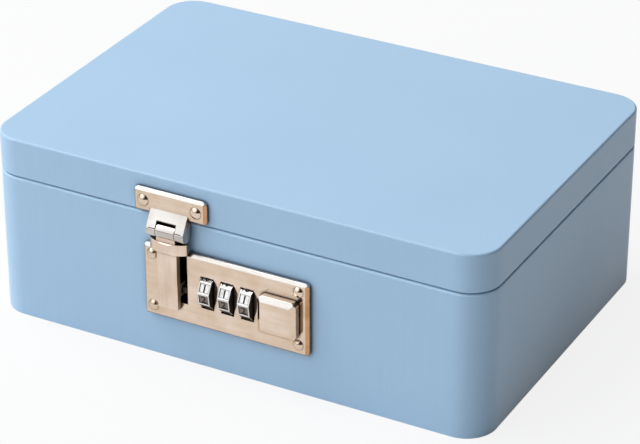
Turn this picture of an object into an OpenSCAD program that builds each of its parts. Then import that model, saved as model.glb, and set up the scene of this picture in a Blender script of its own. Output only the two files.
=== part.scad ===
// A lockable keepsake box: a painted wooden box with a hinged lid, closed by a
// hasp that swings down over a three-dial combination lock. The origin is the
// middle of the underside. +X is to the right, -Y is the lock's side, +Z is up.

/* [Box] */
// Width of the box over its side boards
body_w = 220; // [170:1:300]
// Depth of the box from the front board to the back board
body_d = 152; // [110:1:220]
// Height of the closed box
box_h = 80; // [66:1:140]
// Height of the lid at its rim
lid_h = 16.3; // [15:0.1:24]
// Gap between the body's rim and the lid's rim
seam_gap = 0.5; // [0.3:0.1:1]
// Thickness of the upright boards
board_t = 9; // [7.5:0.1:11]
// Thickness of the lid's top panel
lid_top_t = 7; // [4:0.1:8.4]
// Thickness of the bottom panel
bottom_t = 5; // [3:0.1:8]
// Thickness of the felt on the floor
felt_t = 1.2; // [0.8:0.1:2]
// Radius of the upright outer corners
corner_r = 13; // [10:0.5:18]
// Rounding along the lid's top edge and the body's rim
edge_r = 1; // [0.6:0.1:1.6]

/* [Back hinges] */
// Distance of each hinge from the nearer side of the box
hinge_inset = 45; // [35:1:60]
// Width of a hinge
hinge_w = 32; // [24:1:40]
// Height of one hinge leaf, from the pin
leaf_h = 13.5; // [11:0.1:14]
// Thickness of the hinge leaves
leaf_t = 1; // [0.8:0.1:1.2]
// Radius of the hinge knuckles
hinge_r = 2.1; // [1.9:0.1:2.4]
// Radius of the hinge pins
hinge_pin_r = 1.1; // [0.9:0.05:1.2]
// Angle at which the hinge's stop tab lands, in degrees
lid_stop = 105; // [95:1:115]

/* [Dials] */
// Radius of a dial over its ten corners
dial_r = 8; // [7:0.1:9.6]
// Width of a dial
dial_w = 5.25; // [4.4:0.05:6.4]
// Angle of the ridge that faces the front, in degrees above it
dial_turn = 10; // [0:1:35]
// Space between neighbouring dials
dial_space = 3.65; // [3.65:0.05:5]
// How far a dial stands out of the lock plate
dial_proud = 3.7; // [3:0.1:4.2]
// Radius of the dials' axle
axle_r = 1.2; // [1:0.05:1.3]

/* [Lock] */
// Thickness of the lock plate at its front
plate_t = 2.8; // [2.6:0.1:3.4]
// Wall of the plate's casting
skin = 1.2; // [1:0.1:1.4]
// Distance from the body's rim to the dials' axle
plate_drop = 27.8; // [26:0.1:32]
// Bevel around the plates
plate_bevel = 1.2; // [0.5:0.1:1.4]
// Width of the slide button
button_w = 16.8; // [14:0.1:17.4]
// Height of the slide button
button_h = 16.7; // [14:0.1:17.2]
// Bevel around the slide button
button_bevel = 1.9; // [0.8:0.1:2.2]
// How far the slide button stands out of the plate
button_proud = 4.8; // [3:0.1:6]
// Travel of the slide button from locked to open
lock_travel = 1.6; // [1.5:0.05:1.7]
// Spare travel past the open position
over_travel = 0.6; // [0.4:0.05:0.7]
// Diameter of the latch spring's wire
spring_wire = 0.45; // [0.35:0.05:0.6]
// Diameter of the latch spring over its coils
spring_d = 3.6; // [3:0.1:4.2]
// Turns of the latch spring
spring_turns = 7; // [5:1:8]

/* [Hasp] */
// Width of the hasp's plate
hasp_w = 32.6; // [29:0.1:40]
// Height of the hasp's plate
hasp_h = 10.3; // [9.4:0.1:11]
// Thickness of the hasp's plate
hasp_t = 2.4; // [2:0.1:3]
// Radius of the hasp's knuckles
knuckle_r = 3.1; // [2.6:0.1:3.3]
// Radius of the hasp's pin
hasp_pin_r = 1.1; // [0.9:0.05:1.3]
// Width over the hasp's two ears
barrel_w = 16.8; // [15:0.1:18]
// Width of the arm's knuckle between the ears
arm_knuckle_w = 8.4; // [7.6:0.1:9]
// Width of the swinging arm
arm_w = 9.1; // [8.4:0.1:9.8]
// Thickness of the swinging arm
arm_t = 2.7; // [2.4:0.1:3.2]
// How far the arm reaches below its pin
arm_reach = 33.8; // [32:0.1:35]

/* [Hidden] */
$fn = 64;

// Clearances: between moving pieces, round a running shaft, round a fixed shank
gap = 0.3;
run = 0.04;
fit = 0.1;
over = 1; // how far a cutting tool runs past the face that it cuts

// Heights of the two rims
body_h = box_h - lid_h - seam_gap;
lid_z = body_h + seam_gap;
inner_w = body_w - 2 * board_t;
inner_d = body_d - 2 * board_t;

// --- The lock's layout along X, measured from the middle dial ---
dial_pitch = dial_w + dial_space;
flange_t = 0.5;
fence_t = 0.6;
web_t = 1.4;
// A sleeve reaches from a little left of its dial to just short of the next one
sleeve_before = dial_w / 2 + gap + 0.4;
sleeve_len = dial_pitch - fit;
// Its flange leaves room for the locked fence on the dial's side
flange_x = dial_w / 2 + gap + fence_t + gap;
fence_x = flange_x + flange_t + gap - 0.05;
left_web = -dial_pitch - sleeve_before - 0.2 - web_t;
right_web = dial_pitch + fence_x + fence_t + over_travel + gap;
upright_w = 2.8;
upright_right = left_web - over_travel - 0.4;
upright_left = upright_right - upright_w;
nose_len = 3.45;
nose_tip = upright_left - nose_len;
catch_w = 1.7;
catch_gap = 0.35;
catch_right = nose_tip - catch_gap;
arm_off = arm_w / 2 - 0.4; // from the catch's right face to the middle of the arm
arm_mid = catch_right - arm_off;
slot_right = upright_left - gap;
slot_left = arm_mid - arm_w / 2 + 0.5;
stem_w = 5.5;
stem_h = 6.5;
stem_slot_left = right_web + web_t + 2.5;
stem_left = stem_slot_left + gap + lock_travel;
stem_mid = stem_left + stem_w / 2;
stem_slot_right = stem_left + stem_w + over_travel + gap;
plate_left = slot_left - 8.35;
plate_right = stem_mid + button_w / 2 + 3.7;

// The plate is in the middle of the box, so the middle dial is a little off it
plate_w = plate_right - plate_left;
dial_mid = -(plate_left + plate_right) / 2;
hasp_x = arm_mid + dial_mid;
dials = [for (i = [-1:1]) dial_mid + i * dial_pitch];

// --- The lock's layout in height and depth, from the height of the dials' axle ---
// Depth is measured outwards from the front board's face
axis_t = plate_t + dial_proud - dial_r;
pocket_r = dial_r + gap;
bar_top = -dial_r - 1.8;
bar_h = 2.6;
bar_low = bar_top - bar_h;
case_wall = 0.8;
case_half = -bar_low + gap + case_wall;
rim_t = 1.9;
// The plate's middle is a little below the axle
plate_low = 0.5;
plate_h = 2 * (case_half + fit + rim_t + plate_low);
plate_corner = 1.8;
case_left = slot_left + dial_mid - 0.2;
case_right = stem_slot_right + dial_mid + case_wall + fit;
case_front = plate_t - skin - 0.2;
case_back = axis_t - dial_r - 0.5 - case_wall;
case_corner = 1.5;
bar_front = -0.4;
bar_t = 2.6;
// The flanges turn behind the plate, in reliefs that leave this much of it
relief_skin = 0.6;
flange_r = plate_t - relief_skin - axis_t - 0.25;
neck_r = axle_r + 0.9;
fence_w = 1.4;
gate_w = fence_w + 0.6;
sleeve_r = 3;
key_w = 0.8;
key_h = 0.7;
web_half = 4.4;
nail_x = plate_w / 2 - 4.3;
lock_nail_r = 2.3;
hasp_nail_r = 2.55;
nail_head = 1.25;
nail_shank = 1.2;
nail_len = board_t - 1.5;
post_r = 1.9;
post_y = case_half - case_wall - post_r - fit;
posts = [
    [upright_right + dial_mid - 0.9, post_y],
    [stem_mid + dial_mid + 0.2, post_y]
];
post_bore = 0.85;
button_y = -0.45;
slot_low = -7.3;
button_corner = 2.4;

// The hasp's pin, from the height of the axle
pin_y = plate_drop - 4.05;
pin_t = knuckle_r + 0.5;
arm_back = plate_t + 0.15;
hasp_low = plate_drop + 1.2;
hasp_corner = 2.3;
window_top = hasp_low - 0.9;
ears_w = arm_knuckle_w + gap;
collar_w = 16.6;
collar_h = 4.8;
collar_top = pin_y - knuckle_r - 0.75;
collar_bow = 2.9;
collar_end = 0.9;
// The upper nails stay clear of the arm's collar
nail_y = min(plate_h / 2 - 4.35, collar_top - collar_h - lock_nail_r - gap);
// The catch's window and the nose that enters it
nose_low = -3.5;
nose_h = 2.4;
nose_back = -0.3;
nose_t = 1.5;
catch_low = -5;
catch_top = 0.8;

// Hinges at the back
hinge_x = body_w / 2 - hinge_inset;
seam_z = body_h + seam_gap / 2;
hinge_t = hinge_r + 0.3;
knuckles = 5;
knuckle_w = hinge_w / knuckles;
hinge_screw_r = 1;
hinge_head_r = 1.9;
hinge_screw_y = leaf_h - 5.5;
hinge_screw_len = board_t - 1.5;

sky = [0.62, 0.75, 0.86];
nickel = [0.87, 0.80, 0.74];
steel = [0.70, 0.71, 0.73];

// ---------------------------------------------------------------- helpers

// Carries the lock's flat drawing, X across, Y up and Z outwards, to the front
module on_front() {
    translate([0, -body_d / 2, body_h - plate_drop]) rotate([90, 0, 0]) children();
}

// Carries a hinge's flat drawing, with Z outwards, to the back at the seam
module on_back() {
    translate([0, body_d / 2, seam_z]) rotate([90, 0, 180]) children();
}

// Extrudes a profile drawn in Y (up) and Z (outwards) along X from x0
module along_x(x0, length) {
    translate([x0, 0, 0]) rotate([90, 0, 90]) linear_extrude(length) children();
}

module rounded(w, h, r) {
    union() {
        square([w - 2 * r, h], center = true);
        square([w, h - 2 * r], center = true);
        for (x = [-1, 1], y = [-1, 1])
            translate([x * (w / 2 - r), y * (h / 2 - r)]) circle(r);
    }
}

// Extrudes a profile drawn in X and Z (outwards) along Y, about y = 0
module along_y(length) {
    rotate([90, 0, 0]) translate([0, 0, -length / 2]) linear_extrude(length) children();
}

// A plate with its front edges cut back at 45 degrees
module bevelled(w, h, t, corner, cut) {
    intersection() {
        linear_extrude(t) rounded(w, h, corner);
        along_x(-w / 2, w) polygon(bevel_points(h, t, cut));
        along_y(h) polygon(bevel_points(w, t, cut));
    }
}

function bevel_points(w, t, cut) = [
    [-w / 2, 0], [w / 2, 0], [w / 2, t - cut],
    [w / 2 - cut, t], [-w / 2 + cut, t], [-w / 2, t - cut]
];

// A block whose front edges are rounded with radius r
module softened(w, h, t, corner, r) {
    intersection() {
        linear_extrude(t) rounded(w, h, corner);
        along_x(-w / 2, w) soft_profile(h, t, r);
        along_y(h) soft_profile(w, t, r);
    }
}

module soft_profile(w, t, r) {
    union() {
        translate([-w / 2, 0]) square([w, t - r]);
        translate([-w / 2 + r, 0]) square([w - 2 * r, t]);
        for (x = [-1, 1]) translate([x * (w / 2 - r), t - r]) circle(r);
    }
}

// A dome-headed nail standing on z = 0
module nail(r, length) {
    sphere_r = (r * r + nail_head * nail_head) / (2 * nail_head);
    intersection() {
        translate([0, 0, nail_head - sphere_r]) sphere(sphere_r);
        cylinder(r = r, h = nail_head);
    }
    translate([0, 0, -length]) cylinder(r = nail_shank, h = length);
}

// ---------------------------------------------------------------- box

module box_outline() {
    rounded(body_w, body_d, corner_r);
}

// What a rounding bit takes off the outer edge at height z. side is 1 for an
// edge that faces up and -1 for one that faces down.
module edge_bit(z, side, r) {
    x = body_w / 2;
    y = body_d / 2;
    module bit(out) {
        difference() {
            translate([out - r, 0]) square([r + over, r + over]);
            translate([out - r, 0]) circle(r);
        }
    }
    translate([0, 0, z - side * r]) scale_z(side) {
        for (a = [0, 180]) rotate(a) {
            translate([0, corner_r - y, 0]) rotate([90, 0, 180])
                linear_extrude(2 * (y - corner_r)) bit(x);
            rotate(90) translate([0, corner_r - x, 0]) rotate([90, 0, 180])
                linear_extrude(2 * (x - corner_r)) bit(y);
        }
        for (i = [0:3]) {
            sx = (i == 0 || i == 3) ? 1 : -1;
            sy = i < 2 ? 1 : -1;
            translate([sx * (x - corner_r), sy * (y - corner_r), 0]) rotate(i * 90)
                rotate_extrude(angle = 90) bit(corner_r);
        }
    }
}

module scale_z(side) {
    if (side > 0) children();
    else mirror([0, 0, 1]) children();
}

// The four boards of a frame: front and back run the full width
module frame_board(side, z, h) {
    intersection() {
        translate([0, 0, z]) linear_extrude(h) box_outline();
        translate([0, 0, z + h / 2]) {
            if (side == "front") translate([0, -(body_d - board_t) / 2, 0])
                cube([body_w + over, board_t, h + over], center = true);
            if (side == "back") translate([0, (body_d - board_t) / 2, 0])
                cube([body_w + over, board_t, h + over], center = true);
            if (side == "left") translate([-(body_w - board_t) / 2, 0, 0])
                cube([board_t, inner_d, h + over], center = true);
            if (side == "right") translate([(body_w - board_t) / 2, 0, 0])
                cube([board_t, inner_d, h + over], center = true);
        }
    }
}

module body_board(side) {
    color(sky) difference() {
        frame_board(side, 0, body_h);
        edge_bit(body_h, 1, edge_r);
        if (side == "front") on_front() {
            mortise();
            lock_nail_places() nail_hole();
        }
        if (side == "back") on_back() hinge_screw_places(-1) screw_hole();
    }
}

module lid_board(side) {
    color(sky) difference() {
        frame_board(side, lid_z, lid_h - lid_top_t);
        edge_bit(lid_z, -1, edge_r / 2);
        if (side == "front") on_front() hasp_nail_places() nail_hole();
        if (side == "back") on_back() hinge_screw_places(1) screw_hole();
    }
}

module lid_top() {
    color(sky) difference() {
        translate([0, 0, box_h - lid_top_t]) linear_extrude(lid_top_t) box_outline();
        edge_bit(box_h, 1, edge_r);
    }
}

module bottom_panel() {
    color("burlywood") translate([-inner_w / 2, -inner_d / 2, 0]) cube([inner_w, inner_d, bottom_t]);
}

module floor_felt() {
    color("gainsboro") translate([-inner_w / 2 + gap, -inner_d / 2 + gap, bottom_t])
        cube([inner_w - 2 * gap, inner_d - 2 * gap, felt_t]);
}

// The hole through the front board that takes the lock's case
module mortise() {
    translate([case_left - gap, -case_half - gap, -board_t - over])
        cube([case_right - case_left + 2 * gap, 2 * (case_half + gap), board_t + 2 * over]);
}

module nail_hole() {
    translate([0, 0, -nail_len - fit]) cylinder(r = nail_shank + fit, h = nail_len + over);
}

module screw_hole() {
    translate([0, 0, -hinge_screw_len - fit])
        cylinder(r = hinge_screw_r + fit, h = hinge_screw_len + over);
}

module lock_nail_places() {
    for (x = [-1, 1], y = [-1, 1]) translate([x * nail_x, y * nail_y, 0]) children();
}

module hasp_nail_places() {
    for (x = [-1, 1])
        translate([hasp_x + x * (hasp_w / 2 - 4.5), hasp_low + hasp_h / 2, 0]) children();
}

// ---------------------------------------------------------------- hinges

module both_hinges() {
    for (x = [-hinge_x, hinge_x]) translate([x, 0, 0]) children();
}

module hinge_screw_places(side) {
    both_hinges() for (x = [-1:1])
        translate([x * hinge_w / 3, side * hinge_screw_y, 0]) children();
}

// side is -1 for the leaf on the body and 1 for the leaf on the lid
module leaf(side) {
    first = side < 0 ? 0 : 1;
    difference() {
        union() {
            translate([-hinge_w / 2, side > 0 ? hinge_r + 0.5 : -leaf_h, 0])
                cube([hinge_w, leaf_h - hinge_r - 0.5, leaf_t]);
            for (k = [first:2:knuckles - 1])
                translate([-hinge_w / 2 + k * knuckle_w + fit, 0, 0]) {
                    translate([0, side > 0 ? 0 : -hinge_r - 0.5 - fit, 0])
                        cube([knuckle_w - 2 * fit, hinge_r + 0.5 + fit, leaf_t]);
                    along_x(0, knuckle_w - 2 * fit) translate([0, hinge_t]) circle(hinge_r);
                }
            if (side > 0) stop_tab();
        }
        along_x(-hinge_w / 2 - over, hinge_w + 2 * over)
            translate([0, hinge_t]) circle(hinge_pin_r + run);
        for (x = [-1:1]) translate([x * hinge_w / 3, side * hinge_screw_y, 0]) {
            translate([0, 0, -over]) cylinder(r = hinge_screw_r + fit, h = leaf_t + 2 * over);
            countersink(hinge_head_r + fit);
        }
    }
}

// The tab that meets the body's leaf when the lid is fully open
module stop_tab() {
    reach = (hinge_t - leaf_t - 0.2) / -cos(lid_stop);
    along_x(-hinge_w / 2 + knuckle_w + fit, knuckle_w - 2 * fit)
        translate([-0.05, hinge_t + hinge_pin_r + 0.3])
            square([0.8, min(reach, 4.6) - hinge_pin_r - 0.3]);
}

module countersink(r) {
    translate([0, 0, leaf_t - r + hinge_screw_r]) cylinder(r1 = hinge_screw_r, r2 = r, h = r - hinge_screw_r);
}

module hinge_body_leaves() {
    color("silver") on_back() both_hinges() leaf(-1);
}

module hinge_lid_leaves() {
    color("silver") on_back() both_hinges() leaf(1);
}

module hinge_pins() {
    color(steel) on_back() both_hinges()
        along_x(-hinge_w / 2 - 0.3, hinge_w + 0.6) translate([0, hinge_t]) circle(hinge_pin_r);
}

module hinge_screws(side) {
    color(steel) on_back() hinge_screw_places(side) {
        translate([0, 0, -hinge_screw_len]) cylinder(r = hinge_screw_r, h = hinge_screw_len + leaf_t);
        countersink(hinge_head_r);
    }
}

// ---------------------------------------------------------------- lock

module lock_plate() {
    color(nickel) on_front() difference() {
        union() {
            difference() {
                translate([0, -plate_low, 0]) bevelled(plate_w, plate_h, plate_t, plate_corner, plate_bevel);
                translate([0, -plate_low, -over]) linear_extrude(plate_t - skin + over)
                    square([plate_w - 2 * rim_t, plate_h - 2 * rim_t], center = true);
            }
            lock_nail_places() cylinder(r = lock_nail_r, h = plate_t - skin + fit);
            for (p = posts) translate([p[0], p[1], case_back + case_wall + 0.05])
                cylinder(r = post_r, h = plate_t - skin - case_back - case_wall);
            for (x = [left_web, right_web]) bearing_web(x + dial_mid);
            for (x = [dials[0], dials[2] - 0.6]) bar_guide(x);
        }
        for (x = dials) {
            along_x(x - dial_w / 2 - gap, dial_w + 2 * gap) translate([0, axis_t]) circle(pocket_r);
            along_x(x + flange_x - gap, flange_t + 2 * gap)
                translate([0, axis_t]) circle(flange_r + 0.25);
        }
        along_x(dials[0] - 20, 60) translate([0, axis_t]) circle(axle_r + 0.02);
        catch_slot();
        stem_slot();
        lock_nail_places() translate([0, 0, -over]) cylinder(r = nail_shank + fit, h = plate_t + 2 * over);
        for (p = posts) translate([p[0], p[1], case_back]) cylinder(r = post_bore + fit, h = 7);
    }
}

// A web behind the plate that holds one end of the dials' axle
module bearing_web(x) {
    translate([x, -web_half, axis_t - 3]) cube([web_t, 2 * web_half, plate_t - skin + fit - axis_t + 3]);
}

// A rib that keeps the latch bar back
module bar_guide(x) {
    translate([x, bar_low, bar_front + 0.15]) cube([1.2, bar_h, plate_t - skin + fit - bar_front - 0.15]);
}

// The slot that the hasp's catch enters, open at the top
module catch_slot() {
    x = slot_left + dial_mid;
    translate([x, slot_low, -over]) cube([slot_right - slot_left, plate_h, plate_t + 2 * over]);
}

module stem_slot() {
    translate([stem_slot_left + dial_mid, button_y - stem_h / 2 - gap, -over])
        cube([stem_slot_right - stem_slot_left, stem_h + 2 * gap, plate_t + 2 * over]);
}

module lock_nails() {
    color(nickel) on_front() lock_nail_places()
        translate([0, 0, plate_t]) nail(lock_nail_r, plate_t + nail_len);
}

// The tray that closes the lock from behind
module lock_case() {
    w = case_right - case_left;
    mid = (case_left + case_right) / 2;
    color(steel) on_front() difference() {
        translate([mid, 0, case_back]) linear_extrude(case_front - case_back)
            rounded(w, 2 * case_half, case_corner);
        translate([mid, 0, case_back + case_wall]) linear_extrude(case_front - case_back)
            rounded(w - 2 * case_wall, 2 * (case_half - case_wall), case_corner - case_wall);
        translate([case_left + case_wall, 0, -3.5])
            cube([slot_right + dial_mid - case_left - case_wall, plate_h, 6]);
        for (p = posts) translate([p[0], p[1], case_back - over]) cylinder(r = 1.1, h = case_wall + 2 * over);
    }
}

module case_screws() {
    color(steel) on_front() for (p = posts) translate([p[0], p[1], case_back]) {
        translate([0, 0, -1.1]) cylinder(r = 1.9, h = 1.1);
        cylinder(r = post_bore, h = 6.5);
    }
}

module dial_axle() {
    left = left_web + dial_mid;
    right = right_web + dial_mid + web_t;
    color(steel) on_front() {
        along_x(left, right - left + 0.5) translate([0, axis_t]) circle(axle_r);
        along_x(right + 0.05, 0.8) translate([0, axis_t]) circle(2.4);
    }
}

// One numbered wheel. Ten flats carry the digits in shallow panels. The ten
// keyways inside let the wheel be set on its sleeve at any digit.
module dial(i) {
    flat = dial_r * cos(18);
    panel = [dial_w - 1.1, 0.5, 2 * dial_r * sin(18) - 1.2];
    color("gainsboro") on_front() difference() {
        along_x(dials[i] - dial_w / 2, dial_w) translate([0, axis_t]) difference() {
            rotate(90 - dial_turn) circle(dial_r, $fn = 10);
            circle(sleeve_r + fit);
            for (k = [0:9]) rotate(k * 36)
                translate([0, -key_w / 2 - fit]) square([sleeve_r + key_h + fit, key_w + 2 * fit]);
        }
        translate([dials[i], 0, axis_t]) for (k = [0:9]) rotate([k * 36 - dial_turn, 0, 0])
            translate([0, flat, 0]) cube(panel, center = true);
    }
}

// The sleeve inside a dial: a keyed barrel under the dial, and a narrow neck
// with a flange whose gate lets the fence pass
module sleeve(i) {
    start = dials[i] - sleeve_before;
    length = i < 2 ? sleeve_len : right_web + dial_mid - 0.2 - start;
    barrel = dials[i] - dial_w / 2 - gap;
    color("goldenrod") on_front() difference() {
        union() {
            along_x(start, length) translate([0, axis_t]) circle(neck_r);
            along_x(barrel, dial_w + gap + fit) translate([0, axis_t]) union() {
                circle(sleeve_r);
                translate([0, -key_w / 2]) square([sleeve_r + key_h, key_w]);
            }
            along_x(dials[i] + flange_x, flange_t) translate([0, axis_t]) difference() {
                circle(flange_r);
                translate([-flange_r - over, -gate_w / 2])
                    square([flange_r + over - neck_r, gate_w]);
            }
        }
        along_x(start - over, length + 2 * over) translate([0, axis_t]) circle(axle_r + 0.05);
    }
}

// A strip of spring steel with a finger over each dial. The fingers are drawn
// as a passing ridge lifts them, just clear of the ridges.
module detent_spring() {
    thick = 0.3;
    top = case_half - case_wall - 0.05 - thick / 2;
    rest = dial_r + 0.12 + thick / 2;
    back = axis_t - 5.5;
    color(steel) on_front() {
        translate([dials[0] - 3, top - thick / 2, back - 2]) cube([2 * dial_pitch + 6, thick, 2.2]);
        for (x = dials) along_x(x - 1.5, 3) union() {
            strip([top, back + 0.1], [rest, axis_t - 1.6], thick);
            strip([rest, axis_t - 1.6], [rest, axis_t + 0.6], thick);
            strip([rest, axis_t + 0.6], [rest + 1, axis_t + 1.8], thick);
        }
    }
}

// A strip of the given thickness from a to b, with round ends
module strip(a, b, thick) {
    d = b - a;
    translate(a) rotate(atan2(d[1], d[0])) translate([0, -thick / 2]) square([norm(d), thick]);
    translate(a) circle(thick / 2);
    translate(b) circle(thick / 2);
}

module slide_button() {
    x = stem_mid + dial_mid;
    base = plate_t + 0.15;
    color(nickel) on_front() difference() {
        union() {
            translate([x, button_y, base])
                bevelled(button_w, button_h, button_proud - 0.15, button_corner, button_bevel);
            translate([x - stem_w / 2, button_y - stem_h / 2, bar_front + 0.05])
                cube([stem_w, stem_h, base - bar_front]);
        }
        translate([x, button_y, bar_front - over]) cylinder(r = 1 + fit, h = 4.5);
    }
}

// The sliding bar: the nose enters the catch, the fences pass the gates, and
// the button's stem is screwed to its right-hand upright
module latch_bar() {
    low = bar_front - bar_t;
    left = upright_left + dial_mid;
    right = stem_mid + dial_mid + stem_w / 2;
    color(steel) on_front() difference() {
        union() {
            translate([left, bar_low, low]) cube([right - left, bar_h, bar_t]);
            translate([left, bar_low, low]) cube([upright_w, nose_low + nose_h + 1 - bar_low, bar_t]);
            translate([left, nose_low, low]) cube([upright_w, nose_h, nose_back + nose_t - low]);
            translate([nose_tip + dial_mid, nose_low, nose_back]) cube([nose_len + 1, nose_h, nose_t]);
            for (x = dials) translate([x + fence_x, bar_low, axis_t - fence_w / 2])
                cube([fence_t, -neck_r - gap - bar_low, fence_w]);
            translate([right - 5.9, bar_low, low]) cube([5.9, button_y + stem_h / 2 - bar_low, bar_t]);
            translate([spring_left() - 0.8, bar_low, low - 5.2]) cube([0.8, 4.2, 5.2 + bar_t / 2]);
        }
        translate([stem_mid + dial_mid, button_y, low - over]) cylinder(r = 1 + fit, h = bar_t + 2 * over);
    }
}

module button_screw() {
    low = bar_front - bar_t;
    color(steel) on_front() translate([stem_mid + dial_mid, button_y, low]) {
        translate([0, 0, -1.1]) cylinder(r = 2, h = 1.05);
        translate([0, 0, -0.1]) cylinder(r = 1, h = bar_t + 3);
    }
}

// --- The latch spring: one unbroken coil between the bar's lug and the case ---

function spring_left() = right_web + web_t + dial_mid + 1.1;
spring_len = case_right - case_wall - spring_left() - 0.2;
spring_mean = (spring_d - spring_wire) / 2;
spring_y = bar_low + spring_d / 2 + 0.1;
spring_t = bar_front - bar_t - 0.5 - spring_d / 2;
spring_sides = 6;
spring_rings = 8 * spring_turns;
spring_rise = (spring_len - spring_wire) / spring_turns;
function spring_point(k) =
    let (a = 360 * k / 8)
    [spring_left() + 0.1 + spring_wire / 2 + spring_rise * k / 8,
     spring_y + spring_mean * cos(a), spring_t + spring_mean * sin(a)];
function spring_ring(k) =
    let (a = 360 * k / 8, out = [0, cos(a), sin(a)])
    [for (s = [0:spring_sides - 1])
        let (b = 360 * s / spring_sides)
        spring_point(k) + spring_wire / 2 * (cos(b) * out + sin(b) * [1, 0, 0])];

module latch_spring() {
    n = spring_sides;
    points = [for (k = [0:spring_rings]) each spring_ring(k)];
    last = spring_rings * n;
    faces = concat(
        [for (s = [1:n - 2]) [0, s + 1, s]],
        [for (s = [1:n - 2]) [last, last + s, last + s + 1]],
        [for (k = [0:spring_rings - 1], s = [0:n - 1])
            [k * n + s, k * n + (s + 1) % n, (k + 1) * n + (s + 1) % n]],
        [for (k = [0:spring_rings - 1], s = [0:n - 1])
            [k * n + s, (k + 1) * n + (s + 1) % n, (k + 1) * n + s]]
    );
    echo(least_gap_between_coils = spring_rise - spring_wire);
    color(steel) on_front() polyhedron(points, faces);
}

// ---------------------------------------------------------------- hasp

// The angle, seen from the pin, at which a line from p touches the knuckle
function touch(p, side) =
    atan2(p[1], p[0]) + side * acos(knuckle_r / norm(p));

// The bracket's side: a ramp that rises from the plate to a crease, a face that
// runs on to the knuckle, and a straight back near the box
module bracket_profile() {
    ramp = [hasp_low + 3.1, hasp_t - 0.2] - [pin_y, pin_t];
    crease = [hasp_low + 0.5, hasp_t + 1.6] - [pin_y, pin_t];
    heel = [hasp_low + 0.3, 0.5] - [pin_y, pin_t];
    front = touch(crease, 1);
    back = touch(heel, -1);
    translate([pin_y, pin_t]) union() {
        circle(knuckle_r);
        polygon([
            ramp, crease, knuckle_r * [cos(front), sin(front)], [0, 0],
            knuckle_r * [cos(back), sin(back)], heel, [ramp[0], heel[1]]
        ]);
    }
}

// The bracket is cast with the plate. A window parts its lower half into two
// ears, and each ear has a short slit in front of the pin.
module hasp_plate() {
    ear = barrel_w / 2;
    slit_w = ear - ears_w / 2 - 1.2;
    color(nickel) on_front() difference() {
        union() {
            translate([hasp_x, hasp_low + hasp_h / 2, 0])
                bevelled(hasp_w, hasp_h, hasp_t, hasp_corner, plate_bevel);
            along_x(hasp_x - ear, barrel_w) bracket_profile();
        }
        translate([hasp_x - ears_w / 2, pin_y - 10, -over])
            cube([ears_w, window_top - pin_y + 10, 15]);
        along_x(hasp_x - ear - over, barrel_w + 2 * over)
            translate([pin_y, pin_t]) circle(hasp_pin_r + 0.02);
        for (x = [-1, 1]) translate([hasp_x + x * (ears_w + slit_w) / 2, pin_y, pin_t])
            rotate([64, 0, 0]) translate([0, knuckle_r, 0]) cube([slit_w, 1, 0.3], center = true);
        hasp_nail_places() translate([0, 0, -over]) cylinder(r = nail_shank + fit, h = hasp_t + 2 * over);
    }
}

module hasp_nails() {
    color(nickel) on_front() hasp_nail_places() translate([0, 0, hasp_t]) nail(hasp_nail_r, hasp_t + nail_len);
}

module hasp_pin() {
    color(steel) on_front()
        along_x(hasp_x - barrel_w / 2, barrel_w) translate([pin_y, pin_t]) circle(hasp_pin_r);
}

// The swinging arm: knuckle, wide collar, bar and the catch behind it
module hasp_arm() {
    color(nickel) on_front() difference() {
        union() {
            along_x(hasp_x - arm_knuckle_w / 2, arm_knuckle_w) translate([pin_y, pin_t]) circle(knuckle_r);
            translate([hasp_x, 0, 0]) {
                arm_neck();
                arm_bar();
                collar();
            }
            catch();
        }
        along_x(hasp_x - arm_w, 2 * arm_w) translate([pin_y, pin_t]) circle(hasp_pin_r + run);
    }
}

// Joins the knuckle to the collar
module arm_neck() {
    translate([-arm_knuckle_w / 2, collar_top - 1, arm_back])
        cube([arm_knuckle_w, pin_y - collar_top + 1, pin_t + knuckle_r - arm_back - 0.8]);
}

module arm_bar() {
    low = pin_y - arm_reach;
    high = collar_top - 1;
    translate([0, (low + high) / 2, arm_back]) softened(arm_w, high - low, arm_t, 0.5, 0.6);
}

// A band that bows outwards between its two ends
module collar() {
    half = collar_w / 2;
    bow_r = (half * half + collar_bow * collar_bow) / (2 * collar_bow);
    top = collar_end + collar_bow;
    translate([0, collar_top - collar_h / 2, arm_back]) intersection() {
        along_y(collar_h) intersection() {
            translate([0, top - bow_r]) circle(bow_r);
            translate([-half, 0]) square([collar_w, top + over]);
        }
        along_x(-half, collar_w) soft_profile(collar_h, top, 0.9);
    }
}

module catch() {
    right = catch_right + dial_mid;
    along_x(right - catch_w, catch_w) difference() {
        polygon([
            [catch_low, arm_back + fit], [catch_low, -2.2],
            [catch_top, -1.2], [catch_top, arm_back + fit]
        ]);
        translate([nose_low - gap, nose_back - gap]) square([nose_h + 2 * gap, nose_t + 2 * gap]);
    }
}

// ---------------------------------------------------------------- nodes

body_board("front");  // body_front
body_board("back");  // body_back
body_board("left");  // body_left
body_board("right");  // body_right
bottom_panel();
floor_felt();
lid_board("front");  // lid_front
lid_board("back");  // lid_back
lid_board("left");  // lid_left
lid_board("right");  // lid_right
lid_top();
hinge_body_leaves();
hinge_lid_leaves();
hinge_pins();
hinge_screws(-1);  // hinge_body_screws
hinge_screws(1);  // hinge_lid_screws
lock_plate();
lock_nails();
lock_case();
case_screws();
dial_axle();
detent_spring();
dial(0);  // dial_1
dial(1);  // dial_2
dial(2);  // dial_3
sleeve(0);  // sleeve_1
sleeve(1);  // sleeve_2
sleeve(2);  // sleeve_3
slide_button();
latch_bar();
button_screw();
latch_spring();
hasp_plate();
hasp_nails();
hasp_pin();
hasp_arm();
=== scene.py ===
import math

import bmesh
import bpy
from mathutils import Matrix, Vector

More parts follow.
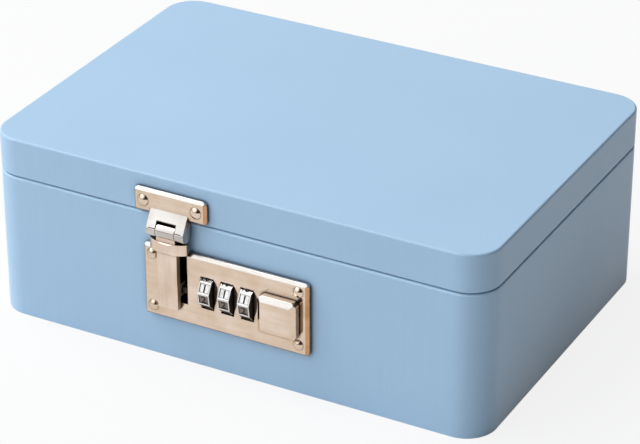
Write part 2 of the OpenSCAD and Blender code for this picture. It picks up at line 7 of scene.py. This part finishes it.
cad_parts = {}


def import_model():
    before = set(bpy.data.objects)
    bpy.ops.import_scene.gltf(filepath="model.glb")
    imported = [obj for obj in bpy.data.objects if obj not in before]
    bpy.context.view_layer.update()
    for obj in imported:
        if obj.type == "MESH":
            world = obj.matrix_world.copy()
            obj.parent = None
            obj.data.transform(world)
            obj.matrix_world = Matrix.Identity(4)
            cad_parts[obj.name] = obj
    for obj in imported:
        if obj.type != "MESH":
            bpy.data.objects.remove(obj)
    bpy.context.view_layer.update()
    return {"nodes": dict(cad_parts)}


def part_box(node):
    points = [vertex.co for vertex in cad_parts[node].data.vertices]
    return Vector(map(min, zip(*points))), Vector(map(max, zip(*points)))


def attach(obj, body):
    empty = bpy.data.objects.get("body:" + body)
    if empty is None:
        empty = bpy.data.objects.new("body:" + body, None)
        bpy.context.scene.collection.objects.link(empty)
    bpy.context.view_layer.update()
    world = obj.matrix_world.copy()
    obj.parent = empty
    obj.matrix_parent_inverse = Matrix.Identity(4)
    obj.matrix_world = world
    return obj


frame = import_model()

nodes = frame["nodes"]
scene = bpy.context.scene

# Sizes are in metres, written as millimetres times MM
MM = 0.001

# The dials: ten-sided wheels with a sunk panel and a digit in each side
DIALS = (1, 2, 3)
DIAL_SIDES = 10
DIAL_R = 8 * MM
SIDE_ANGLE = 360 / DIAL_SIDES
DIAL_FLAT = DIAL_R * math.cos(math.radians(SIDE_ANGLE / 2))
PANEL_DEPTH = 0.25 * MM
FRONT_RIDGE = 10  # degrees of the front ridge above the horizontal
TOP_DIGIT = 1  # the digit above the front ridge at rest
DIGIT_H = 3.1 * MM
DIGIT_SHARE = 0.73  # height of a digit as a share of its font's size
DIGIT_BOLD = 0.12 * MM
DIGIT_THICK = 0.02 * MM  # to each side of the digit's middle plane
DIGIT_DEPTH = 0.24 * MM  # of that plane below the flats, so that digits stand just proud of the panels

# A face whose normal points along X by more than this is a flank
FLANK = 0.97

# The photograph's camera, solved from the box's edges: place in metres, angles in radians and
# lens in millimetres
CAMERA_PLACE = (0.47148, -0.87718, 0.57534)
CAMERA_DIP = 0.4999  # how far it looks down
CAMERA_TURN = 0.4935  # how far it looks to the left
CAMERA_LENS = 155.25
CAMERA_SENSOR = 36

FLOOR_HALF = 6  # metres
FLOOR_GLOW = 0.85  # share of plain white in the floor that the camera and polished metal see
WHITE = (1, 1, 1, 1)

# A mix node's colour sockets go by number, because their names repeat
MIX_FACTOR, MIX_A, MIX_B, MIX_RESULT = 0, 6, 7, 2


# ---------------------------------------------------------------- node helpers

class Nodes:
    """Short calls for the nodes of a material or a world."""

    def __init__(self, owner):
        owner.use_nodes = True
        self.tree = owner.node_tree

    def put(self, socket, value):
        """Link a socket to the output given, or set it to the constant given."""
        if isinstance(value, bpy.types.NodeSocket):
            self.tree.links.new(value, socket)
        else:
            socket.default_value = value

    def add(self, kind, inputs=None, **settings):
        node = self.tree.nodes.new(kind)
        for key, value in settings.items():
            setattr(node, key, value)
        for socket, value in (inputs or {}).items():
            self.put(node.inputs[socket], value)
        return node

    def split(self, vector):
        return self.add("ShaderNodeSeparateXYZ", {"Vector": vector}).outputs

    def remap(self, value, low, high, at=(0.3, 0.7), curve="LINEAR"):
        """low where the value is at[0], high where it is at[1], and clamped outside."""
        inputs = {"Value": value, "From Min": at[0], "From Max": at[1], "To Min": low, "To Max": high}
        return self.add("ShaderNodeMapRange", inputs, interpolation_type=curve).outputs["Result"]

    def combine(self, operation, a, b):
        return self.add("ShaderNodeMath", {0: a, 1: b}, operation=operation).outputs[0]

    def mix(self, factor, a, b):
        """Colour a where the factor is 0, b where it is 1."""
        inputs = {MIX_FACTOR: factor, MIX_A: a, MIX_B: b}
        return self.add("ShaderNodeMix", inputs, data_type="RGBA").outputs[MIX_RESULT]

    def mix_shaders(self, factor, a, b):
        return self.add("ShaderNodeMixShader", {0: factor, 1: a, 2: b}).outputs[0]


class Surface(Nodes):
    """A material whose patterns follow the object's own coordinates."""

    def __init__(self, name):
        self.material = bpy.data.materials.new(name)
        super().__init__(self.material)
        self.shader = self.tree.nodes["Principled BSDF"]
        self.place = self.add("ShaderNodeTexCoord").outputs["Object"]

    def build(self, **sockets):
        """Fill the shader's sockets, with _ for the spaces of their names, and give the material."""
        for name, value in sockets.items():
            self.put(self.shader.inputs[name.replace("_", " ")], value)
        return self.material

    def noise(self, scale, detail=2, rough=0.5, place=None):
        inputs = {"Vector": place or self.place, "Scale": scale, "Detail": detail, "Roughness": rough}
        return self.add("ShaderNodeTexNoise", inputs).outputs["Fac"]

    def fibres(self, scales, detail=3, rough=0.6):
        """Noise that is stretched along the axes of the smaller scales."""
        mapping = self.add("ShaderNodeMapping", {"Vector": self.place, "Scale": scales})
        return self.noise(1, detail, rough, mapping.outputs["Vector"])

    def normal(self):
        return self.add("ShaderNodeNewGeometry").outputs["Normal"]

    def worn_edges(self, radius):
        """A normal that rounds sharp edges over the given radius."""
        return self.add("ShaderNodeBevel", {"Radius": radius}, samples=6).outputs["Normal"]

    def occlusion_shade(self, reach):
        """Ambient occlusion, used to paint shade into colours: 0 in inside corners and narrow gaps, 1 in the
        open.
        """
        seen = self.add("ShaderNodeAmbientOcclusion", {"Distance": reach}, samples=8).outputs["AO"]
        return self.remap(seen, 0, 1, at=(0.5, 0.95))

    def bump(self, height, distance, strength, normal=None):
        inputs = {"Height": height, "Distance": distance, "Strength": strength}
        if normal is not None:
            inputs["Normal"] = normal
        return self.add("ShaderNodeBump", inputs).outputs["Normal"]


def rgb(red, green, blue):
    """An 8-bit display colour as a linear one."""
    def linear(v):
        v /= 255
        return v / 12.92 if v <= 0.04045 else ((v + 0.055) / 1.055) ** 2.4
    return (linear(red), linear(green), linear(blue), 1.0)


# ---------------------------------------------------------------- materials

# Scales of streaks that run along one axis, and of turning marks around X
ALONG_X = (30, 300, 300)
ALONG_Z = (300, 300, 30)
AROUND_X = (300, 30, 30)
HAIRLINE = 12  # times finer than the streaks
# painted shade in the corners and gaps of metal parts
CORNER_SHADE = rgb(58, 42, 32)


def satin_paint(name, rim=None):
    """Sprayed satin lacquer: faint cloudiness, the sanding grain under it, fine orange peel. Painted
    shade darkens it close to the fittings. An edge at the height of rim is rounded in its shading, and
    a paler band along it is a painted highlight."""
    paint = Surface(name)
    cloud = paint.noise(16, detail=3)
    speck = paint.noise(900)
    sanding = paint.fibres((600, 600, 12))
    peel = paint.noise(420, detail=1)
    grain = paint.noise(2600)
    colour = paint.mix(paint.remap(cloud, 0, 1), rgb(170, 203, 232), rgb(174, 207, 235))
    colour = paint.mix(paint.remap(sanding, 0, 0.16), colour, rgb(163, 195, 225))
    colour = paint.mix(paint.remap(speck, 0, 0.35, at=(0.55, 0.8)), colour, rgb(164, 197, 227))

    # the floor's own shadow is enough at the foot
    height = paint.split(paint.place)["Z"]
    foot = paint.remap(height, 1, 0, at=(4 * MM, 9 * MM))
    lit = paint.combine("MAXIMUM", paint.occlusion_shade(4 * MM), foot)
    # painted shade: a darker blue where the fittings and corners occlude the paint
    colour = paint.mix(lit, rgb(112, 142, 172), colour)

    normal = None
    if rim is not None:
        near_rim = paint.remap(height, 0, 1, at=(rim - 1.6 * MM, rim - 1.2 * MM))
        normal = paint.mix(near_rim, paint.normal(), paint.worn_edges(1.1 * MM))
        # painted highlight: a paler blue band along the rim's rounded edge
        rim_highlight = paint.remap(height, 0, 0.8, at=(rim - 1.1 * MM, rim - 0.7 * MM))
        colour = paint.mix(rim_highlight, colour, rgb(192, 226, 254))
    normal = paint.bump(peel, 0.35 * MM, 0.05, normal)
    normal = paint.bump(sanding, 0.1 * MM, 0.03, normal)
    normal = paint.bump(grain, 0.1 * MM, 0.05, normal)
    return paint.build(Base_Color=colour, Roughness=paint.remap(cloud, 0.36, 0.44), Normal=normal)


def polished_metal(name, light, dark, rough, streaks=ALONG_X, edge=0.4 * MM, shade_reach=1.4 * MM, metallic=1.0):
    """Plated, polished casting: long soft streaks, cloudy gloss, hairline scratches, painted shade in its
    corners.
    """
    metal = Surface(name)
    cloud = metal.noise(90, detail=3)
    streak = metal.fibres(streaks)
    hair = metal.fibres([scale * HAIRLINE for scale in streaks])
    wave = metal.noise(150, detail=1)
    tone = metal.combine("ADD", metal.remap(cloud, 0, 0.7), metal.remap(streak, 0, 0.5))
    # painted shade: darker towards corners and gaps
    colour = metal.mix(metal.occlusion_shade(shade_reach), CORNER_SHADE, metal.mix(tone, light, dark))
    gloss = metal.combine("ADD", metal.remap(cloud, rough * 0.55, rough), metal.remap(hair, 0, rough * 0.4))
    normal = metal.bump(wave, 0.4 * MM, 0.05, metal.worn_edges(edge))
    normal = metal.bump(streak, 0.2 * MM, 0.04, normal)
    normal = metal.bump(hair, 0.04 * MM, 0.08, normal)
    return metal.build(Base_Color=colour, Metallic=metallic, Roughness=gloss, Normal=normal)


def dark_steel_and_shade(name, light, dark, rough=0.55):
    """Dark, unpolished metal: the oiled steel of the inner parts, and painted shade on the dials' flanks and
    recess walls.
    """
    metal = Surface(name)
    grain = metal.noise(700, detail=3, rough=0.6)
    patch = metal.noise(160)
    colour = metal.mix(metal.remap(grain, 0, 1), light, dark)
    colour = metal.mix(metal.remap(patch, 0, 0.5), colour, dark)
    gloss = metal.remap(grain, rough - 0.1, rough + 0.1)
    normal = metal.bump(grain, 0.1 * MM, 0.3)
    return metal.build(Base_Color=colour, Metallic=0.7, Roughness=gloss, Normal=normal)


def dial_panel():
    """Sunk number panels of satin chrome, with painted shade where they face down and in their corners."""
    metal = Surface("dial_panel")
    speck = metal.noise(500)
    facing = metal.split(metal.normal())["Z"]
    colour = metal.mix(metal.remap(speck, 0, 1), rgb(232, 229, 226), rgb(206, 201, 196))
    # painted shade: darker brown where the panel faces down
    colour = metal.mix(metal.remap(facing, 0, 1, at=(-0.2, 0.35)), rgb(112, 91, 76), colour)
    # painted shade: near black in the panel's corners
    colour = metal.mix(metal.occlusion_shade(0.8 * MM), rgb(36, 28, 24), colour)
    gloss = metal.remap(speck, 0.25, 0.35)
    normal = metal.bump(speck, 0.03 * MM, 0.2)
    return metal.build(Base_Color=colour, Metallic=0.8, Roughness=gloss, Normal=normal)


def felt():
    """Grey pressed felt with loose fibres."""
    cloth = Surface("grey_felt")
    fibre = cloth.noise(2400, detail=4, rough=0.7)
    patch = cloth.noise(90)
    colour = cloth.mix(cloth.remap(fibre, 0, 1), rgb(196, 197, 196), rgb(226, 227, 225))
    colour = cloth.mix(cloth.remap(patch, 0, 0.3), colour, rgb(206, 206, 204))
    normal = cloth.bump(fibre, 0.4 * MM, 0.6)
    return cloth.build(Base_Color=colour, Roughness=0.95, Sheen_Weight=0.4, Normal=normal)


def fibreboard():
    """Raw board under the box, its fibres along X."""
    board = Surface("raw_fibreboard")
    fibre = board.fibres((500, 1800, 1800), detail=4, rough=0.65)
    patch = board.noise(60, detail=3)
    colour = board.mix(board.remap(fibre, 0, 1), rgb(160, 128, 92), rgb(190, 158, 120))
    colour = board.mix(board.remap(patch, 0, 0.4), colour, rgb(148, 118, 86))
    normal = board.bump(fibre, 0.2 * MM, 0.4)
    return board.build(Base_Color=colour, Roughness=board.remap(fibre, 0.7, 0.9), Normal=normal)


def digit_ink():
    """Matt black enamel in the dials' digits."""
    ink = Surface("black_enamel")
    speck = ink.noise(2500)
    colour = ink.mix(ink.remap(speck, 0, 1), rgb(18, 17, 17), rgb(40, 38, 37))
    normal = ink.bump(speck, 0.03 * MM, 0.3)
    return ink.build(Base_Color=colour, Roughness=ink.remap(speck, 0.55, 0.7), Normal=normal)


LID_PAINT = satin_paint("sky_blue_satin_paint")
BODY_PAINT = satin_paint("sky_blue_satin_paint_body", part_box("body_front")[1].z)
NICKEL = polished_metal("champagne_nickel", rgb(232, 214, 199), rgb(210, 185, 160), 0.12)
# a paler, neutral copy of the nickel: painted highlight on upward faces, the ramp, the ears and the knuckle
HIGHLIT_NICKEL = polished_metal("nickel_painted_highlight", rgb(210, 204, 198), rgb(188, 180, 173), 0.16, shade_reach=0.5 * MM)
ARM = polished_metal("brushed_nickel_arm", rgb(234, 214, 198), rgb(212, 188, 168), 0.22, ALONG_Z)
CAST = polished_metal("champagne_nickel_flank", rgb(206, 180, 152), rgb(178, 148, 120), 0.5, metallic=0.4)
CHROME = polished_metal("dial_chrome", rgb(226, 224, 222), rgb(206, 203, 200), 0.18, AROUND_X, shade_reach=0.6 * MM)
# a darker, warmer copy of the nickel: painted shade on faces to the right and below
SHADED_NICKEL = polished_metal("nickel_painted_shade_edge", rgb(212, 168, 128), rgb(180, 134, 96), 0.2)
PANEL = dial_panel()
SHADE = dark_steel_and_shade("dial_shade", rgb(46, 39, 34), rgb(20, 17, 15))
STEEL = polished_metal("plated_steel", rgb(212, 211, 209), rgb(190, 189, 188), 0.34, shade_reach=0.5 * MM)
BRASS = polished_metal("turned_brass", rgb(214, 184, 116), rgb(190, 158, 92), 0.3, AROUND_X)
DULL_STEEL = dark_steel_and_shade("oiled_steel", rgb(118, 102, 94), rgb(70, 54, 48), 0.45)
FELT = felt()
BOARD = fibreboard()
INK = digit_ink()


# ---------------------------------------------------------------- pieces of one material

def assign(material, *names):
    for name in names:
        mesh = nodes[name].data
        mesh.materials.clear()
        mesh.materials.append(material)


def starting(prefix):
    return [name for name in nodes if name.startswith(prefix)]


assign(BODY_PAINT, *starting("body_"))
assign(LID_PAINT, *starting("lid_"))
assign(BOARD, "bottom_panel")
assign(FELT, "floor_felt")
assign(STEEL, *starting("hinge_"), "case_screws")
assign(DULL_STEEL, "lock_case", "dial_axle", "detent_spring", "latch_bar", "button_screw", "latch_spring")
assign(NICKEL, "lock_nails", "hasp_nails", "hasp_pin")
assign(BRASS, *starting("sleeve_"))


# ---------------------------------------------------------------- pieces of several materials

pin_low, pin_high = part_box("hasp_pin")
pin_height = (pin_low.z + pin_high.z) / 2
pin_depth = (pin_low.y + pin_high.y) / 2
plate_low, plate_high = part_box("lock_plate")

RAMP_TOP = pin_height + 9 * MM
EARS_TOP = pin_height + 3.4 * MM
KNUCKLE_R = 3.3 * MM
KNUCKLE_FOOT = pin_height - 2.4 * MM
OUTLINE_BAND = 2.5 * MM  # width of the lock plate's bevelled outline
SHOW_DEPTH = 1.5 * MM  # depth in which a face of the lock plate belongs to its show face


def split_faces(name, choose, *materials):
    """Give each face of a node the one of the materials that choose(centre, normal) returns."""
    mesh = nodes[name].data
    mesh.materials.clear()
    for material in materials:
        mesh.materials.append(material)
    for face in mesh.polygons:
        face.material_index = materials.index(choose(face.center, face.normal))


def highlit_top(normal):
    """Upward-facing faces, which take a paler nickel as painted highlight."""
    return normal.z > 0.45


def shaded_edge(normal):
    """Faces to the right and below, which take a darker, warmer nickel as painted shade."""
    return normal.x > 0.35 or normal.z < -0.35


def bracket_side(centre, normal):
    """The ramp, the ears and the upper edge take the paler nickel of painted highlight, and edges to the
    right and below the darker nickel of painted shade.
    """
    ramp = normal.z > 0.1 and centre.z < RAMP_TOP
    if ramp or centre.z < EARS_TOP or highlit_top(normal):
        return HIGHLIT_NICKEL
    return SHADED_NICKEL if shaded_edge(normal) else NICKEL


def button_side(centre, normal):
    """The button is polished, with a painted highlight on its upper edges. Its flanks are as cast."""
    if highlit_top(normal):
        return HIGHLIT_NICKEL
    return CAST if abs(normal.x) > FLANK else NICKEL


def arm_side(centre, normal):
    """The arm's knuckle takes the paler nickel of painted highlight, like the bracket. Its face is brushed,
    and its flanks are as cast.
    """
    from_pin = math.hypot(centre.z - pin_height, centre.y - pin_depth)
    if from_pin < KNUCKLE_R and centre.z > KNUCKLE_FOOT:
        return HIGHLIT_NICKEL
    return CAST if abs(normal.x) > FLANK else ARM


def plate_side(centre, normal):
    """The lock plate's show face is polished. Inside the slots and behind it is the raw casting."""
    from_outline = min(centre.x - plate_low.x, plate_high.x - centre.x,
                       centre.z - plate_low.z, plate_high.z - centre.z)
    outline = from_outline < OUTLINE_BAND
    # painted highlight on the outline's upward bevels, painted shade on its right and lower bevels
    if outline and highlit_top(normal):
        return HIGHLIT_NICKEL
    if outline and shaded_edge(normal):
        return SHADED_NICKEL
    show_face = normal.y < -0.3 and centre.y < plate_low.y + SHOW_DEPTH
    return NICKEL if outline or show_face else DULL_STEEL


def dial_faces(index):
    """Flanks and recess walls dark with painted shade, satin number panels and polished ridges."""
    low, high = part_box(f"dial_{index}")
    axis = Vector((0, (low.y + high.y) / 2, (low.z + high.z) / 2))

    def dial_side(centre, normal):
        if abs(normal.x) > FLANK:
            return SHADE
        depth = DIAL_FLAT - (centre - axis).dot(normal)
        if depth < PANEL_DEPTH / 2:
            return CHROME
        return PANEL if depth < PANEL_DEPTH * 1.5 else SHADE

    split_faces(f"dial_{index}", dial_side, CHROME, PANEL, SHADE)


split_faces("hasp_plate", bracket_side, NICKEL, HIGHLIT_NICKEL, SHADED_NICKEL)
split_faces("slide_button", button_side, NICKEL, CAST, HIGHLIT_NICKEL)
split_faces("hasp_arm", arm_side, HIGHLIT_NICKEL, ARM, CAST)
split_faces("lock_plate", plate_side, NICKEL, DULL_STEEL, HIGHLIT_NICKEL, SHADED_NICKEL)
for dial in DIALS:
    dial_faces(dial)


# ---------------------------------------------------------------- dial digits

def digit_mesh(text):
    """The outline of one digit, standing along +Y, facing +Z, its centre at the origin."""
    curve = bpy.data.curves.new("digit", "FONT")
    curve.body = text
    curve.size = DIGIT_H / DIGIT_SHARE
    curve.align_x = "CENTER"
    curve.resolution_u = 4
    curve.offset = DIGIT_BOLD
    curve.extrude = DIGIT_THICK
    holder = bpy.data.objects.new("digit", curve)
    scene.collection.objects.link(holder)
    bpy.context.view_layer.update()
    mesh = bpy.data.meshes.new_from_object(holder.evaluated_get(bpy.context.evaluated_depsgraph_get()))
    bpy.data.objects.remove(holder)

    def middle(axis):
        places = [vertex.co[axis] for vertex in mesh.vertices]
        return (min(places) + max(places)) / 2

    mesh.transform(Matrix.Translation((-middle(0), -middle(1), 0)))
    return mesh


def dial_digits(index):
    """A digit in each panel of one dial, falling by one from panel to panel upwards."""
    low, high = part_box(f"dial_{index}")
    to_dial = Matrix.Translation((low + high) / 2)
    to_front = Matrix.Rotation(math.radians(90), 4, "X")
    to_panel = Matrix.Translation((0, 0, DIAL_FLAT - DIGIT_DEPTH))
    work = bmesh.new()
    for step in range(DIAL_SIDES):
        lift = math.radians(FRONT_RIDGE + SIDE_ANGLE * (step + 0.5))
        digit = digit_mesh(str((TOP_DIGIT - step) % DIAL_SIDES))
        digit.transform(to_dial @ Matrix.Rotation(-lift, 4, "X") @ to_front @ to_panel)
        work.from_mesh(digit)
        bpy.data.meshes.remove(digit)
    mesh = bpy.data.meshes.new(f"digits_{index}")
    work.to_mesh(mesh)
    work.free()
    mesh.materials.append(INK)
    piece = bpy.data.objects.new(f"dial_digits_{index}", mesh)
    scene.collection.objects.link(piece)
    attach(piece, f"wheel_{index}")


for dial in DIALS:
    dial_digits(dial)


# ---------------------------------------------------------------- floor, light, camera

def floor():
    """A pale matt floor. The camera and polished metal see it as nearly white."""
    ground = Surface("pale_floor")
    ground.build(Base_Color=(0.8, 0.8, 0.8, 1), Roughness=0.9)
    path = ground.add("ShaderNodeLightPath").outputs
    glow = ground.add("ShaderNodeEmission", {"Color": WHITE, "Strength": 1.0}).outputs[0]
    seen = ground.combine("MAXIMUM", path["Is Camera Ray"], path["Is Glossy Ray"])
    share = ground.combine("MULTIPLY", seen, FLOOR_GLOW)
    whole = ground.mix_shaders(share, ground.shader.outputs[0], glow)
    ground.put(ground.tree.nodes["Material Output"].inputs["Surface"], whole)

    far = FLOOR_HALF
    mesh = bpy.data.meshes.new("floor")
    mesh.from_pydata([(-far, -far, 0), (far, -far, 0), (far, far, 0), (-far, far, 0)], [], [(0, 1, 2, 3)])
    mesh.materials.append(ground.material)
    plane = bpy.data.objects.new("floor", mesh)
    scene.collection.objects.link(plane)


def world():
    """White to the camera. Otherwise a studio: bright and cool on the left, dim on the right and low
    down."""
    scene.world = bpy.data.worlds.new("studio")
    studio = Nodes(scene.world)
    background = studio.tree.nodes["Background"]
    from_camera = studio.add("ShaderNodeLightPath").outputs["Is Camera Ray"]
    white = studio.add("ShaderNodeBackground", {"Color": WHITE})
    direction = studio.split(studio.add("ShaderNodeTexCoord").outputs["Generated"])
    to_right = studio.remap(direction["X"], 0, 1, at=(-0.35, 0.35), curve="SMOOTHSTEP")
    rise = studio.remap(direction["Z"], 0.45, 1, at=(0.02, 0.3), curve="SMOOTHSTEP")
    tint = studio.mix(to_right, (0.90, 0.92, 0.94, 1), (0.045, 0.041, 0.038, 1))
    studio.put(background.inputs["Color"], tint)
    studio.put(background.inputs["Strength"], rise)
    whole = studio.mix_shaders(from_camera, background.outputs[0], white.outputs[0])
    studio.put(studio.tree.nodes["World Output"].inputs["Surface"], whole)


def soft_light(name, place, size, power, colour=(1, 1, 1)):
    """A round soft light that points at the object."""
    data = bpy.data.lights.new(name, "AREA")
    data.shape = "DISK"
    data.size = size
    data.energy = power
    data.color = colour
    lamp = bpy.data.objects.new(name, data)
    lamp.location = place
    lamp.rotation_euler = (-Vector(place)).to_track_quat("-Z", "Y").to_euler()
    scene.collection.objects.link(lamp)


def camera():
    data = bpy.data.cameras.new("camera")
    data.sensor_width = CAMERA_SENSOR
    data.lens = CAMERA_LENS
    data.clip_start = 0.05
    view = bpy.data.objects.new("camera", data)
    view.location = CAMERA_PLACE
    view.rotation_euler = (math.pi / 2 - CAMERA_DIP, 0, CAMERA_TURN)
    scene.collection.objects.link(view)
    scene.camera = view


floor()
world()
soft_light("key", place=(-0.85, -0.15, 1.3), size=1.2, power=10.8)
soft_light("front", place=(-0.69, -0.94, 1.09), size=2.2, power=9.0, colour=(0.9, 0.96, 1.0))
camera()
scene.view_settings.view_transform = "Standard"
